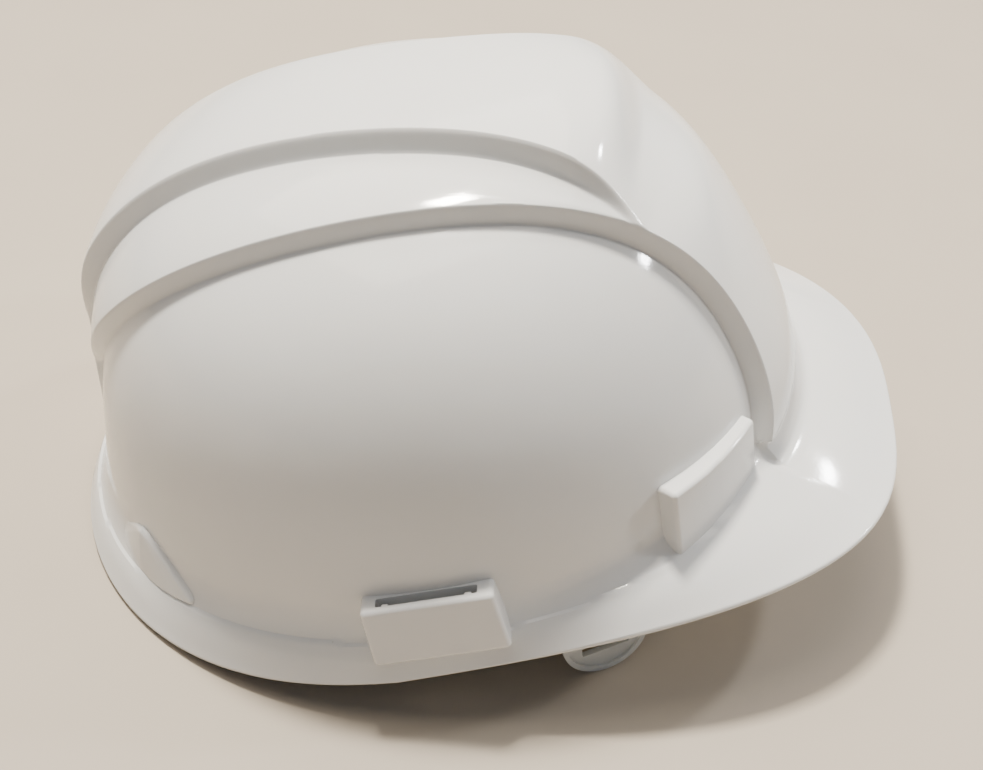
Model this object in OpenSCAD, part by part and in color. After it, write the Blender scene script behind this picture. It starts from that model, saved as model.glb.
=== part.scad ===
// Hard hat: a moulded cap shell with two raised crown ridges and a front shield, and a
// four-point webbing harness with a headband that a ratchet knob draws tighter.
// The cap is described level, with +X to the peak, +Y to the wearer's left and +Z up, and
// is then tipped onto its rear rim and its two chin-strap lugs, as it stands on a table.

/* [Shell] */
// Dome's reach ahead of its centre, at the brim line
dome_front = 118; // [112:1:124]
// Dome's reach behind its centre, at the brim line
dome_rear = 115; // [110:1:120]
// Dome's half width at the brim line
dome_side = 103; // [98:1:107]
// Height of the plain dome above the brim line
dome_h = 107.5; // [100:0.5:115]
// How far the crown leans ahead of the dome's centre
crown_lean = 23.5; // [15:0.5:28]
// Wall thickness of the moulded shell
wall = 2.4; // [2:0.1:3]

/* [Brim] */
// Reach of the peak from the dome's centre
peak_reach = 158; // [150:1:165]
// Reach of the rear brim from the dome's centre
rear_reach = 123.5; // [120:0.5:128]
// Half width across the brim
brim_side = 113; // [110:1:118]
// How much the brim narrows towards the peak
brim_taper = 0.137; // [0.05:0.01:0.18]

/* [Ridges] */
// Height of the broad ridge and of the front shield above the dome
ridge_h = 5.8; // [4:0.1:7]
// Height of the crown ridge above the broad ridge
crown_h = 6.4; // [4:0.1:8]

/* [Accessory slots] */
// Length of the side slot's opening
slot_l = 31; // [28:0.5:33]
// Width of the side slot's opening
slot_w = 3.4; // [3:0.1:4]

/* [Harness] */
// Height of the crown straps' crossing above the brim line
strap_top = 84; // [78:1:90]
// Width of the strap webbing
strap_w = 20; // [16:1:24]
// Half width of the headband
band_side = 78; // [75:0.5:80]
// Reach of the headband ahead of the nape arc's centre
band_front = 115; // [112:1:118]
// Height of the headband strip
band_h = 34; // [30:1:36]

/* [Ratchet] */
// Pitch radius of the pinion
pinion_r = 6; // [6:0.5:6]
// Number of teeth on the pinion
pinion_teeth = 12; // [12:1:12]
// Radius of the hand knob
knob_r = 15.5; // [14:0.5:16]

/* [Stance] */
// How far the peak is tipped up when the hat stands on a table
pitch = 7.4; // [7.4:0.1:7.4]

/* [Hidden] */

// Stance: lowest point of the rear rim below the dome's centre, in the tipped frame
rim_low = -37.71;
// Shifts the box's centre to the origin along X
shift_x = -19.28;

// Plan exponents: of the dome, and of the brim's front and rear
dome_n = 2.08;
brim_n_front = 2.9;
brim_n_rear = 2.26;
// Section exponent of the dome at its middle, and how much it falls towards the front
section_m = 2.5;
section_fall = 1.07;

// Mesh: columns round the shell, rows up the dome and rows across the brim
cols = 66;
dome_rows = 19;
brim_rows = 4;

// Harness centre, under the straps' crossing, and the straps' heading
crown_x = 8;
strap_az = 36;
key_front = 104;
key_rear = 117;
plate_in = 12;
strap_t = 1.2;
strap_base = 8;
plug_half = 14;
key_h = 36;

// Headband, around the nape arc's centre
nape_x = -14;
band_t = 1.6;
band_top = 8;
band_n = 2.2;
band_end = 38;
pad_t = 3.6;

// Nape arms: layers outside the headband, and their angles from the nape
gap = 0.4;
arm_t = 1.5;
arm_in = band_side + gap;
arm_out = arm_in + arm_t + gap;
arm_half = 11;
arm_far = 26;
arm_near = 78;
nape_z = -6;
slot_half = 7.4;
slot_reach = 22;
rack_pitch = 2 * PI * pinion_r / pinion_teeth;

// Ratchet box
box_reach = 34;
box_half = 16;
box_r = arm_out + arm_t + gap;
box_wall = 2.4;
boss_r = 15.5;
boss_u = box_r + 4.6;
shaft_r = 4;
fit = 0.05;
knob_u = boss_u + 0.4;
knob_t = 6;

// Chin-strap lug, hung on the inside of the dome's wall
lug_x = 62.3;
lug_y = 87.6;
lug_az = 64;
lug_half = 14.5;
lug_t = 2;
lug_in = -5.1;
lug_hinge = -7.8;
lug_splay = 2;

white = [0.95, 0.95, 0.94];
natural = [0.85, 0.86, 0.84];
webbing = [0.80, 0.80, 0.78];
dark = [0.16, 0.16, 0.17];
fleece = [0.13, 0.13, 0.14];
steel = [0.62, 0.62, 0.64];

// ---- Dome: a superellipse in plan and section, leaning forward ----

function pw(v, n) = pow(abs(v), n);
function smooth(t) = let (c = min(1, max(0, t))) c * c * (3 - 2 * c);
function mix(a, b, t) = a + (b - a) * t;
function heading(col, elev) = [cos(elev) * cos(col), cos(elev) * sin(col), sin(elev)];

function reach_x(d) = mix(dome_rear, dome_front, (1 + tanh(2.5 * d.x)) / 2);
function tanh(v) = (exp(2 * v) - 1) / (exp(2 * v) + 1);
function section(d) = section_m - section_fall * d.x;
function plan(x, y, a) = pw(x / a, dome_n) + pw(y / dome_side, dome_n) + 1e-9;

// Point of the plain dome along the direction d, before it leans
function dome_point(d) = let (a = reach_x(d), m = section(d))
    d * pow(pow(plan(d.x, d.y, a), m / dome_n) + pw(d.z / dome_h, m), -1 / m);

function dome_normal(d, p) = let (
        a = reach_x(d), m = section(d),
        k = m * pow(plan(p.x, p.y, a), m / dome_n - 1),
        n = [k * sign(p.x) * pw(p.x / a, dome_n - 1) / a,
            k * sign(p.y) * pw(p.y / dome_side, dome_n - 1) / dome_side,
            m * pw(p.z / dome_h, m - 1) / dome_h])
    n / norm(n);

// The brim line rises towards the front
function brim_line(x) = let (u = x / 100) -4 + 7.3 * u + 3.7 * u * u;

function lean(p) = let (up = min(1.1, max(0, p.z / dome_h)))
    [p.x + crown_lean * up, p.y, p.z + brim_line(p.x) * (1 - up)];

// ---- Ridges: two bands that run from the rear over the crown to the front ----

// along: 0 at the rear, 90 over the crown and 180 at the front; across: degrees to the side
function along(d) = atan2(abs(d.z), -d.x);
function across(d) = abs(asin(d.y));
function broad_half(t) = let (q = (t - 90) / 90)
    max(11, 25.5 - 9.2 * q - 16.9 * q * q + 23 * q * q * q);
function crown_half(t) = let (q = (t - 90) / 90)
    max(5, min(14.7 + 10.7 * q + 10.2 * q * q + 17.3 * q * q * q, broad_half(t)));

// The crown ridge ends in a brow at the front, over a scoop that runs into the shield
function crown_rise(t) = crown_h * (1 - smooth((t - 109) / 13)) - 1.6 * smooth((t - 112) / 10)
    * (1 - smooth((t - 123) / 12));

function ridge(d) = let (t = along(d), b = across(d))
    ridge_h * smooth((broad_half(t) - b) / 2 + 0.5) * smooth((t - 4) / 30)
    + crown_rise(t) * smooth((crown_half(t) - b) / 2 + 0.5) * smooth((t - 6) / 30);

function skin(d, inward) = let (p = dome_point(d))
    lean(p + dome_normal(d, p) * (ridge(d) - inward));

// ---- Brim: a straight flare from the brim line to the rim ----

function rim_point(col) = let (
        front = cos(col) > 0,
        a = front ? peak_reach : rear_reach,
        n = front ? brim_n_front : brim_n_rear,
        r = pow(pw(cos(col) / a, n) + pw(sin(col) / brim_side, n), -1 / n),
        x = r * cos(col),
        u = x / 100)
    [x, r * sin(col) * (1 - brim_taper * max(0, x) / peak_reach),
        -21.2 + 12.6 * u + 4.1 * u * u - 5.9 * u * u * u];

function brim_point(col, s, inward) = let (
        d = heading(col, 0), p = dome_point(d), j = lean(p), r = rim_point(col),
        flare = r - j,
        out = norm([flare.x, flare.y]),
        up = [-flare.z * flare.x / out, -flare.z * flare.y / out, out] / norm(flare),
        start = (ridge(d)) / out)
    j + flare * mix(start, 1, s) - up * inward;

// ---- Shell ----

function dome_ring(row, inward) = let (elev = 90 * (1 - row / dome_rows))
    [for (c = [0:cols - 1]) skin(heading(360 * c / cols, elev), inward)];
function brim_ring(row, inward) =
    [for (c = [0:cols - 1]) brim_point(360 * c / cols, row / brim_rows, inward)];

function face_pair(a, b, c) = let (n = (c + 1) % cols)
    [[a + c, b + c, b + n], [a + c, b + n, a + n]];

module closed_rings(rings, top, bottom) {
    count = len(rings);
    points = concat([top], [for (r = rings) each r], [bottom]);
    last = count * cols + 1;
    faces = concat(
        [for (c = [0:cols - 1]) [0, 1 + c, 1 + (c + 1) % cols]],
        [for (k = [0:count - 2], c = [0:cols - 1])
            each face_pair(1 + k * cols, 1 + (k + 1) * cols, c)],
        [for (c = [0:cols - 1]) let (b = 1 + (count - 1) * cols) [last, b + (c + 1) % cols, b + c]]);
    polyhedron(points, [for (f = faces) [f[0], f[2], f[1]]], convexity = 8);
}

module shell_skin() {
    closed_rings(
        concat(
            [for (k = [1:dome_rows]) dome_ring(k, 0)],
            [for (k = [0:brim_rows]) brim_ring(k, 0)],
            [for (k = [0:brim_rows]) brim_ring(brim_rows - k, wall)],
            [for (k = [0:dome_rows - 1]) dome_ring(dome_rows - k, wall)]),
        skin([0, 0, 1], 0),
        skin([0, 0, 1], wall));
}

// Everything inside the middle of the wall, to trim the lugs with
module inside_fill() {
    closed_rings(
        concat(
            [for (k = [1:dome_rows]) dome_ring(k, wall / 2)],
            [for (k = [1:brim_rows]) brim_ring(k, wall / 2)]),
        skin([0, 0, 1], wall / 2),
        [0, 0, -60]);
}

module both_sides() {
    children();
    mirror([0, 1, 0]) children();
}

module round_box(low, high, r) {
    hull()
        for (x = [low.x + r, high.x - r], y = [low.y + r, high.y - r], z = [low.z + r, high.z - r])
            translate([x, y, z]) sphere(r, $fn = 16);
}

module slot_place() {
    translate([12, 101.6, 6]) rotate([0, 0, -4.3]) rotate([0, -7.3, 0]) children();
}

module slot_box() {
    slot_place() hull() {
        for (x = [-18.4, 18.4]) {
            translate([x, 5.6, 1.4]) sphere(1.6, $fn = 16);
            translate([x, -5, 1.4]) sphere(1.6, $fn = 16);
            translate([x * 1.04, 7, -16]) sphere(1.6, $fn = 16);
            translate([x * 1.04, -2, -16]) sphere(1.6, $fn = 16);
        }
    }
}

module slot_cut() {
    slot_place() hull()
        for (x = [-1, 1] * (slot_l / 2 - 0.6), y = [-1, 1] * (slot_w / 2 - 0.6), z = [-26, 6])
            translate([x, 3 + y, z]) sphere(0.6, $fn = 12);
}

// Frame of a harness key: +X outwards at the shell's skin
module key_place(rear) {
    translate([crown_x, 0, 0]) rotate([0, 0, rear ? 180 - strap_az : strap_az])
        translate([rear ? key_rear : key_front, 0, 0]) children();
}

module front_lug() {
    key_place(false) round_box([-9, -19.5, 0], [8.4, 19.5, 25], 2);
}

module rear_lug() {
    translate([-85, 71, 0]) rotate([0, 0, 138]) hull()
        for (y = [-24:12:24]) {
            translate([3 - y * y * 0.008, y, -13 + abs(y) * 0.06]) sphere(2, $fn = 16);
            translate([-3 - y * y * 0.008, y * 0.55, 2.5 - abs(y) * 0.12]) sphere(2, $fn = 16);
        }
}

module key_pocket(rear) {
    key_place(rear) hull()
        translate([-12, -plug_half, rear ? -6 : 8]) cube([rear ? 6.4 : 16, 2 * plug_half, 13]);
}

// Frame of a chin-strap lug: +X outwards through the dome's wall
module lug_place() {
    translate([lug_x, lug_y, 0]) rotate([0, 0, lug_az]) children();
}

module lug_rails() {
    lug_place()
        for (s = [-1, 1]) {
            translate([-6.4, s > 0 ? 11 : -13.4, -1]) cube([8, 2.4, 13]);
            translate([-6.4, s > 0 ? 8.6 : -13.4, -1]) cube([1.2, 4.8, 13]);
        }
}

module shell() {
    color(white) rest() difference() {
        union() {
            shell_skin();
            difference() {
                both_sides() {
                    slot_box();
                    front_lug();
                    rear_lug();
                }
                inside_fill();
            }
            intersection() {
                both_sides() {
                    lug_rails();
                    for (rear = [false, true]) key_place(rear)
                        translate([-7, -plug_half - 2, rear ? -8 : 6])
                            cube([rear ? 8 : 12, 2 * plug_half + 4, 17]);
                }
                union() {
                    inside_fill();
                    shell_skin();
                }
            }
        }
        both_sides() {
            slot_cut();
            key_pocket(false);
            key_pocket(true);
        }
    }
}

// ---- Harness ----

// Tips the level cap into its stance, with the table at z = 0
module rest() {
    translate([shift_x, 0, -rim_low]) rotate([0, -pitch, 0]) children();
}

module sided(right) {
    if (right) mirror([0, 1, 0]) children();
    else children();
}

// Outline of a strap's arch: a superellipse with its own reach at each end
function arch(step, inset) = let (
        t = 180 * step / 48,
        a = (cos(t) > 0 ? key_front : key_rear) - plate_in - inset,
        h = strap_top - strap_base - inset)
    [a * sign(cos(t)) * pw(cos(t), 0.8), strap_base + h * pw(sin(t), 0.8)];

module crown_strap(right, lift) {
    color(webbing) rest() translate([crown_x, 0, 0])
        rotate([0, 0, right ? -strap_az : strap_az]) rotate([90, 0, 0])
            translate([0, lift, -strap_w / 2]) linear_extrude(strap_w)
                polygon(concat([for (i = [0:48]) arch(i, 0)], [for (i = [48:-1:0]) arch(i, strap_t)]));
}

module crown_strap_a() { crown_strap(false, 0); }

module crown_strap_b() { crown_strap(true, strap_t); }

// A square of thread with a cross in it, through both straps
module crown_stitching() {
    z = strap_top + strap_t;
    color(dark) rest() translate([crown_x, 0, z]) {
        for (a = [0:90:270]) rotate([0, 0, a]) translate([5.6, -6, 0]) cube([0.8, 12, 0.5]);
        for (a = [45, 135]) rotate([0, 0, a]) translate([-7.6, -0.4, 0]) cube([15.2, 0.8, 0.5]);
    }
}

// Reach of a strap's inner face at the height z, from its key's frame
function strap_face(z, rear) = let (
        end = rear ? key_rear : key_front,
        rise = (z - strap_base) / (strap_top - strap_base - strap_t))
    (end - plate_in - strap_t) * pw(cos(asin(pw(rise, 1.25))), 0.8) - end;

// Two rows of thread where each strap's end is sewn back on itself
module strap_end_stitching() {
    color(dark) rest()
        for (right = [false, true], rear = [false, true]) sided(right) key_place(rear)
            for (z = [27, 33]) {
                lift = right == rear ? 0 : strap_t;
                translate([strap_face(z + 0.4, rear) - 0.4, -8, z + lift]) cube([0.6, 16, 0.8]);
            }
}

module harness_key(right, rear) {
    peg_z = rear ? -21 : -8;
    peg_l = rear ? 12.2 : 6.5;
    low = rear ? -24.5 : -14;
    color(natural) rest() sided(right) key_place(rear) {
        difference() {
            translate([-plate_in, -15, low]) cube([3, 30, key_h]);
            translate([-plate_in - 1, -11, 14]) cube([5, 22, 3.4]);
        }
        translate([-plate_in + 3, -plug_half - fit, rear ? -5.6 : 8.4])
            cube([rear ? 3 : 11, 2 * (plug_half + fit), 12.2]);
        translate([-plate_in - peg_l, 0, peg_z]) rotate([0, 90, 0]) cylinder(peg_l + 1, r = 3.2, $fn = 40);
        translate([-plate_in - 2, 0, peg_z]) rotate([0, 90, 0]) cylinder(3, r = 5, $fn = 40);
    }
}

module key_front_left() { harness_key(false, false); }
module key_front_right() { harness_key(true, false); }
module key_rear_left() { harness_key(false, true); }
module key_rear_right() { harness_key(true, true); }

// ---- Headband ----

module nape_place() { translate([nape_x, 0, 0]) children(); }

// Strip of the arc from one angle to another, counted from the nape towards the left
module nape_strip(r, thick, low, high, from, to) {
    translate([0, 0, low]) rotate([0, 0, 180 - to]) rotate_extrude(angle = to - from, $fn = 180)
        translate([r, 0]) square([thick, high - low]);
}

function oval(inset) = [for (t = [-90:3:90]) let (a = band_front - inset, b = band_side - inset)
    [a * pw(cos(t), 2 / band_n), b * sign(t) * pw(sin(t), 2 / band_n)]];

module front_strip(outer, inner, low, high) {
    outside = oval(outer);
    within = oval(inner);
    translate([0, 0, low]) linear_extrude(high - low)
        polygon(concat(outside, [for (i = [len(within) - 1:-1:0]) within[i]]));
}

// Bridge on the headband that a nape arm slides through
module arm_bridge(from, to) {
    top = nape_z + arm_half + gap;
    low = nape_z - arm_half - gap;
    nape_strip(box_r, 1.6, low - 1.6, top + 1.6, from, to);
    nape_strip(band_side - 0.4, box_r - band_side + 1.2, top, top + 1.6, from, to);
    nape_strip(band_side - 0.4, box_r - band_side + 1.2, low - 1.6, low, from, to);
}

module headband() {
    color(natural) rest() nape_place() {
        front_strip(0, band_t, band_top - band_h, band_top);
        both_sides() {
            nape_strip(band_side - band_t, band_t, band_top - band_h, band_top, band_end, 90);
            arm_bridge(51, 56);
        }
    }
}

module sweatband() {
    color(fleece) rest() nape_place() intersection() {
        front_strip(band_t, band_t + pad_t, band_top - band_h - 3, band_top - 5);
        translate([22, -100, -60]) cube([120, 200, 90]);
    }
}

// Length of the D-shaped tab that just brings its round end down to the table
function lug_drop() = let (
        tilt = sin(pitch) * cos(lug_az),
        fall = sin(lug_splay) * cos(pitch) + cos(lug_splay) * tilt,
        down = cos(lug_splay) * cos(pitch) - sin(lug_splay) * tilt,
        hinge = lug_x * sin(pitch) + lug_in * tilt + lug_hinge * cos(pitch) - rim_low)
    lug_half + (hinge - lug_half * sqrt(1 - fall * fall)) / down;

// Chin-strap lug: a blade in the shell's rails and a D-shaped tab below the rim
module chin_lug(right) {
    drop = lug_drop();
    color(natural) rest() sided(right) lug_place() {
        translate([lug_in, -11 - fit, lug_hinge - 0.2]) cube([lug_t, 22 + 2 * fit, 21]);
        translate([lug_in, 0, lug_hinge]) rotate([0, -lug_splay, 0]) rotate([90, 0, 90]) {
            linear_extrude(lug_t) difference() {
                lug_outline(drop, 0);
                translate([-8, 8 - drop]) square([16, 3.6]);
            }
            linear_extrude(lug_t + 1) difference() {
                lug_outline(drop, 0);
                lug_outline(drop, 1.6);
            }
        }
    }
}

module lug_outline(drop, inset) {
    r = lug_half - inset;
    translate([0, lug_half - drop]) circle(r, $fn = 64);
    translate([-r, lug_half - drop]) square([2 * r, drop - lug_half - inset]);
}

module chin_lug_left() { chin_lug(false); }
module chin_lug_right() { chin_lug(true); }

// ---- Ratchet ----

// Link that hangs the ratchet's box from a rear key
module nape_link(right) {
    from = [nape_x - (box_r + box_wall) * cos(28), (box_r + box_wall) * sin(28)];
    key = [crown_x - (key_rear - plate_in) * cos(strap_az), (key_rear - plate_in) * sin(strap_az)];
    run = key - from;
    color(natural) rest() sided(right)
        translate([from.x, from.y, -1]) rotate([0, 0, atan2(run.y, run.x)])
            translate([0, -0.4, 0]) cube([norm(run), 2, 9]);
}

module nape_link_left() { nape_link(false); }
module nape_link_right() { nape_link(true); }

// Arm with a rack along one edge of its slot; up puts the rack on the upper edge
module nape_arm(right, r, up) {
    step = rack_pitch / (r + arm_t / 2) * 180 / PI;
    teeth = floor(slot_reach / step);
    color(natural) rest() nape_place() sided(right) {
        difference() {
            nape_strip(r, arm_t, nape_z - arm_half, nape_z + arm_half, -arm_far, arm_near);
            nape_strip(r - 1, arm_t + 2, nape_z - slot_half, nape_z + slot_half, -slot_reach, slot_reach);
        }
        for (i = [-teeth:teeth - 1]) rotate([0, 0, (i + 0.5) * step])
            translate([-r - arm_t + 0.15, 0, nape_z]) rotate([90, 0, 90])
                linear_extrude(arm_t - 0.3)
                    mirror([0, up ? 0 : 1])
                        polygon([[-0.85, 7.6], [0.85, 7.6], [0.4, 5.3], [-0.4, 5.3]]);
    }
}

module nape_arm_left() { nape_arm(false, arm_in, true); }
module nape_arm_right() { nape_arm(true, arm_out, false); }

// Frame of the knob: +Z runs back out of the nape, and +X is up
module knob_place() {
    rest() translate([nape_x, 0, nape_z]) rotate([0, -90, 0]) children();
}

module ratchet_housing() {
    low = nape_z - box_half;
    high = nape_z + box_half;
    side = arm_half + gap;
    color(dark) difference() {
        union() {
            rest() nape_place() {
                nape_strip(box_r, box_wall, low, high, -box_reach, box_reach);
                nape_strip(band_side, box_r - band_side + 1, nape_z + side, high, -box_reach, box_reach);
                nape_strip(band_side, box_r - band_side + 1, low, nape_z - side, -box_reach, box_reach);
            }
            knob_place() translate([0, 0, box_r + 0.6]) cylinder(boss_u - box_r - 0.6, r = boss_r, $fn = 96);
        }
        knob_place() translate([0, 0, box_r - 2]) cylinder(10, r = shaft_r + fit, $fn = 64);
        knob_place() translate([0, 0, boss_u - 2]) cylinder(3, r = 12.4, $fn = 64);
    }
}

module ratchet_cover() {
    color(dark) difference() {
        rest() nape_place()
            nape_strip(band_side - 2.6, 2.6, nape_z - box_half, nape_z + box_half, -box_reach, box_reach);
        knob_place() translate([0, 0, band_side - 2]) cylinder(4, r = 2.5 + fit, $fn = 48);
    }
}

module nape_pad() {
    color(fleece) rest() nape_place()
        nape_strip(band_side - 6.6, 4, nape_z - 14, nape_z + 13, -30, 30);
}

module pinion() {
    color(dark) knob_place() {
        translate([0, 0, band_side - 1.6]) cylinder(2.4, r = 2.5, $fn = 48);
        translate([0, 0, band_side + 0.6]) linear_extrude(3.2) {
            circle(4.7, $fn = 48);
            for (i = [0:pinion_teeth - 1]) rotate(i * 360 / pinion_teeth)
                polygon([[4.4, -0.85], [6.7, -0.4], [6.7, 0.4], [4.4, 0.85]]);
        }
        difference() {
            translate([0, 0, band_side + 3.8]) cylinder(knob_u + 1 - band_side - 3.8, r = shaft_r, $fn = 64);
            translate([0, 0, knob_u - 5]) cylinder(7, r = 1.2, $fn = 32);
        }
    }
}

// Ring of sprung pawls that clicks round inside the box's recess
module detent_ring() {
    color(natural) knob_place() translate([0, 0, boss_u - 1.7]) difference() {
        linear_extrude(2.1) {
            circle(9.5, $fn = 64);
            for (i = [0:3]) rotate(i * 90) {
                translate([8.6, -1.2]) square([3.3, 2.4]);
            }
        }
        translate([0, 0, -1]) cylinder(5, r = shaft_r + fit, $fn = 64);
    }
}

module ratchet_knob() {
    color(dark) knob_place() translate([0, 0, knob_u]) difference() {
        union() {
            cylinder(knob_t - 1.2, r = knob_r, $fn = 96);
            translate([0, 0, knob_t - 1.2]) cylinder(1.2, r1 = knob_r, r2 = knob_r - 1.2, $fn = 96);
        }
        for (i = [0:13]) rotate(i * 360 / 14)
            translate([knob_r + 1.2, 0, -1]) cylinder(knob_t + 2, r = 2.2, $fn = 32);
        translate([0, 0, knob_t - 1.4]) cylinder(3, r = 4.2, $fn = 48);
        translate([0, 0, -1]) cylinder(knob_t, r = 1.9, $fn = 32);
        translate([0, 0, -1]) cylinder(2, r = shaft_r, $fn = 64);
    }
}

// Screw through the knob into the pinion's shaft, with a cross recess
module knob_screw() {
    color(steel) knob_place() difference() {
        union() {
            translate([0, 0, knob_u + knob_t - 1.4]) cylinder(1.4, r = 3.6, $fn = 48);
            translate([0, 0, knob_u - 4.6]) cylinder(knob_t + 4, r = 1.2, $fn = 32);
        }
        for (a = [0, 90]) rotate([0, 0, a])
            translate([-1.8, -0.4, knob_u + knob_t - 0.9]) cube([3.6, 0.8, 2]);
    }
}

shell();
crown_strap_a();
crown_strap_b();
crown_stitching();
strap_end_stitching();
key_front_left();
key_front_right();
key_rear_left();
key_rear_right();
headband();
sweatband();
chin_lug_left();
chin_lug_right();
nape_link_left();
nape_link_right();
nape_arm_left();
nape_arm_right();
ratchet_housing();
ratchet_cover();
nape_pad();
ratchet_knob();
pinion();
detent_ring();
knob_screw();
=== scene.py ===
"""Looks of the hard hat: shell, harness, materials, studio and camera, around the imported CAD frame."""

import math

import bmesh
import bpy
import numpy as np
from mathutils import Matrix, Vector


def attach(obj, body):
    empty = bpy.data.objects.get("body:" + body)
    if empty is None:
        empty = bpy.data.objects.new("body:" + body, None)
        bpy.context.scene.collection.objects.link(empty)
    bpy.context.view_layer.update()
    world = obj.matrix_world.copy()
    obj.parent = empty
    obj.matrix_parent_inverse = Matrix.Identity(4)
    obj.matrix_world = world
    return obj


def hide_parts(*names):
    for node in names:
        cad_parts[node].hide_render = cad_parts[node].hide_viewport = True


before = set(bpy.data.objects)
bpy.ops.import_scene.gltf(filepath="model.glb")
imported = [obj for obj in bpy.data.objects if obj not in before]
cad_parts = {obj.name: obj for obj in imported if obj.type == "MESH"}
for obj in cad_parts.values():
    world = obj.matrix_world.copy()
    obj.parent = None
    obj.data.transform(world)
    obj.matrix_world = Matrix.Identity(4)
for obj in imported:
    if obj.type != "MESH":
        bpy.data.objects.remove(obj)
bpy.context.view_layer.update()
MM = 0.001

# ---- Stance: the cap is described level, then tipped onto its rear rim ----

PITCH = math.radians(7.4)
SHIFT = Vector((-19.28, 0, 37.71))
STANCE = Matrix.Translation(SHIFT * MM) @ Matrix.Rotation(-PITCH, 4, "Y") @ Matrix.Scale(MM, 4)


# ---- Shell form ----

DOME_FRONT, DOME_REAR, DOME_SIDE, DOME_H = 118.0, 115.0, 103.0, 107.5
CROWN_LEAN = 23.5
WALL = 2.4
PEAK_REACH, REAR_REACH, BRIM_SIDE, BRIM_TAPER = 158.0, 123.5, 113.0, 0.137
RIDGE_H, CROWN_H = 5.8, 6.4
DOME_N, BRIM_N_FRONT, BRIM_N_REAR = 2.08, 2.9, 2.26
SECTION_M, SECTION_FALL = 2.5, 1.07


def smooth(t):
    t = np.clip(t, 0, 1)
    return t * t * (3 - 2 * t)


def heading(az, elev):
    az, elev = np.broadcast_arrays(az, elev)
    return np.stack([np.cos(elev) * np.cos(az), np.cos(elev) * np.sin(az), np.sin(elev)], -1)


def dome_point(d):
    x, y, z = d[..., 0], d[..., 1], d[..., 2]
    a = (DOME_REAR + DOME_FRONT) / 2 + (DOME_FRONT - DOME_REAR) / 2 * np.tanh(2.5 * x)
    m = SECTION_M - SECTION_FALL * x
    g = np.abs(x / a) ** DOME_N + np.abs(y / DOME_SIDE) ** DOME_N + 1e-9
    reach = (g ** (m / DOME_N) + np.abs(z / DOME_H) ** m) ** (-1 / m)
    p = d * reach[..., None]
    px, py, pz = p[..., 0], p[..., 1], p[..., 2]
    g = np.abs(px / a) ** DOME_N + np.abs(py / DOME_SIDE) ** DOME_N + 1e-9
    k = m * g ** (m / DOME_N - 1)
    n = np.stack([
        k * np.sign(px) * np.abs(px / a) ** (DOME_N - 1) / a,
        k * np.sign(py) * np.abs(py / DOME_SIDE) ** (DOME_N - 1) / DOME_SIDE,
        m * np.abs(pz / DOME_H) ** (m - 1) / DOME_H], -1)
    return p, n / np.linalg.norm(n, axis=-1, keepdims=True)


def brim_line(x):
    u = x / 100
    return -4 + 7.3 * u + 3.7 * u * u


def lean(p):
    up = np.clip(p[..., 2] / DOME_H, 0, 1.1)
    out = p.copy()
    out[..., 0] += CROWN_LEAN * up
    out[..., 2] += brim_line(p[..., 0]) * (1 - up)
    return out


def broad_half(t):
    q = (t - 90) / 90
    return np.maximum(11, 25.5 - 9.2 * q - 16.9 * q ** 2 + 23 * q ** 3)


def crown_half(t):
    q = (t - 90) / 90
    return np.maximum(5, np.minimum(14.7 + 10.7 * q + 10.2 * q ** 2 + 17.3 * q ** 3, broad_half(t)))


def crown_rise(t, b):
    """Height of the crown ridge, which drops at the brow: steeply in its middle, gently along its edges."""
    side = np.clip(b / crown_half(t), 0, 1) ** 2
    middle = 1 - smooth((t - 109.5) / 10)
    edge = 1 - smooth((t - 105) / 20)
    scoop = 1.6 * smooth((t - 112) / 10) * (1 - smooth((t - 123) / 12)) * (1 - side)
    return CROWN_H * (middle + (edge - middle) * side) - scoop


def ridge(d, edge=1.7):
    """Height of the ridges and the shield over the plain dome. edge is the step's width in degrees."""
    t = np.degrees(np.arctan2(np.abs(d[..., 2]), -d[..., 0]))
    b = np.degrees(np.abs(np.arcsin(np.clip(d[..., 1], -1, 1))))
    broad = smooth((broad_half(t) - b) / edge + 0.5) * smooth((t - 4) / 30)
    crown = smooth((crown_half(t) - b) / edge + 0.5) * smooth((t - 6) / 30)
    return RIDGE_H * broad + crown_rise(t, b) * crown


def skin(d, inward=0.0):
    p, n = dome_point(d)
    return lean(p + n * (ridge(d) - inward)[..., None])


def rim_curve(az):
    front = np.cos(az) > 0
    a = np.where(front, PEAK_REACH, REAR_REACH)
    n = np.where(front, BRIM_N_FRONT, BRIM_N_REAR)
    r = (np.abs(np.cos(az) / a) ** n + np.abs(np.sin(az) / BRIM_SIDE) ** n) ** (-1 / n)
    x = r * np.cos(az)
    u = x / 100
    y = r * np.sin(az) * (1 - BRIM_TAPER * np.clip(x, 0, None) / PEAK_REACH)
    return np.stack([x, y, -21.2 + 12.6 * u + 4.1 * u ** 2 - 5.9 * u ** 3], -1)


def graded(stretches):
    """Places from low to high, each stretch at its own spacing."""
    out = []
    for low, high, step in stretches:
        out.append(np.linspace(low, high, max(2, round((high - low) / step) + 1))[:-1])
    return np.concatenate(out)


# ---- Shell mesh: rows run over the dome from rear to front, columns follow the ridges' edges ----

EDGE = 1.5
FILLET = 7.0
BRIM_BULGE = 0.8


def direction(t, b):
    """Heading at t degrees along, from rear to front, and b degrees across, to the left."""
    t, b = np.radians(t), np.radians(b)
    return np.stack([-np.cos(t) * np.cos(b), np.sin(b) + 0 * t, np.sin(t) * np.cos(b)], -1)


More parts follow.
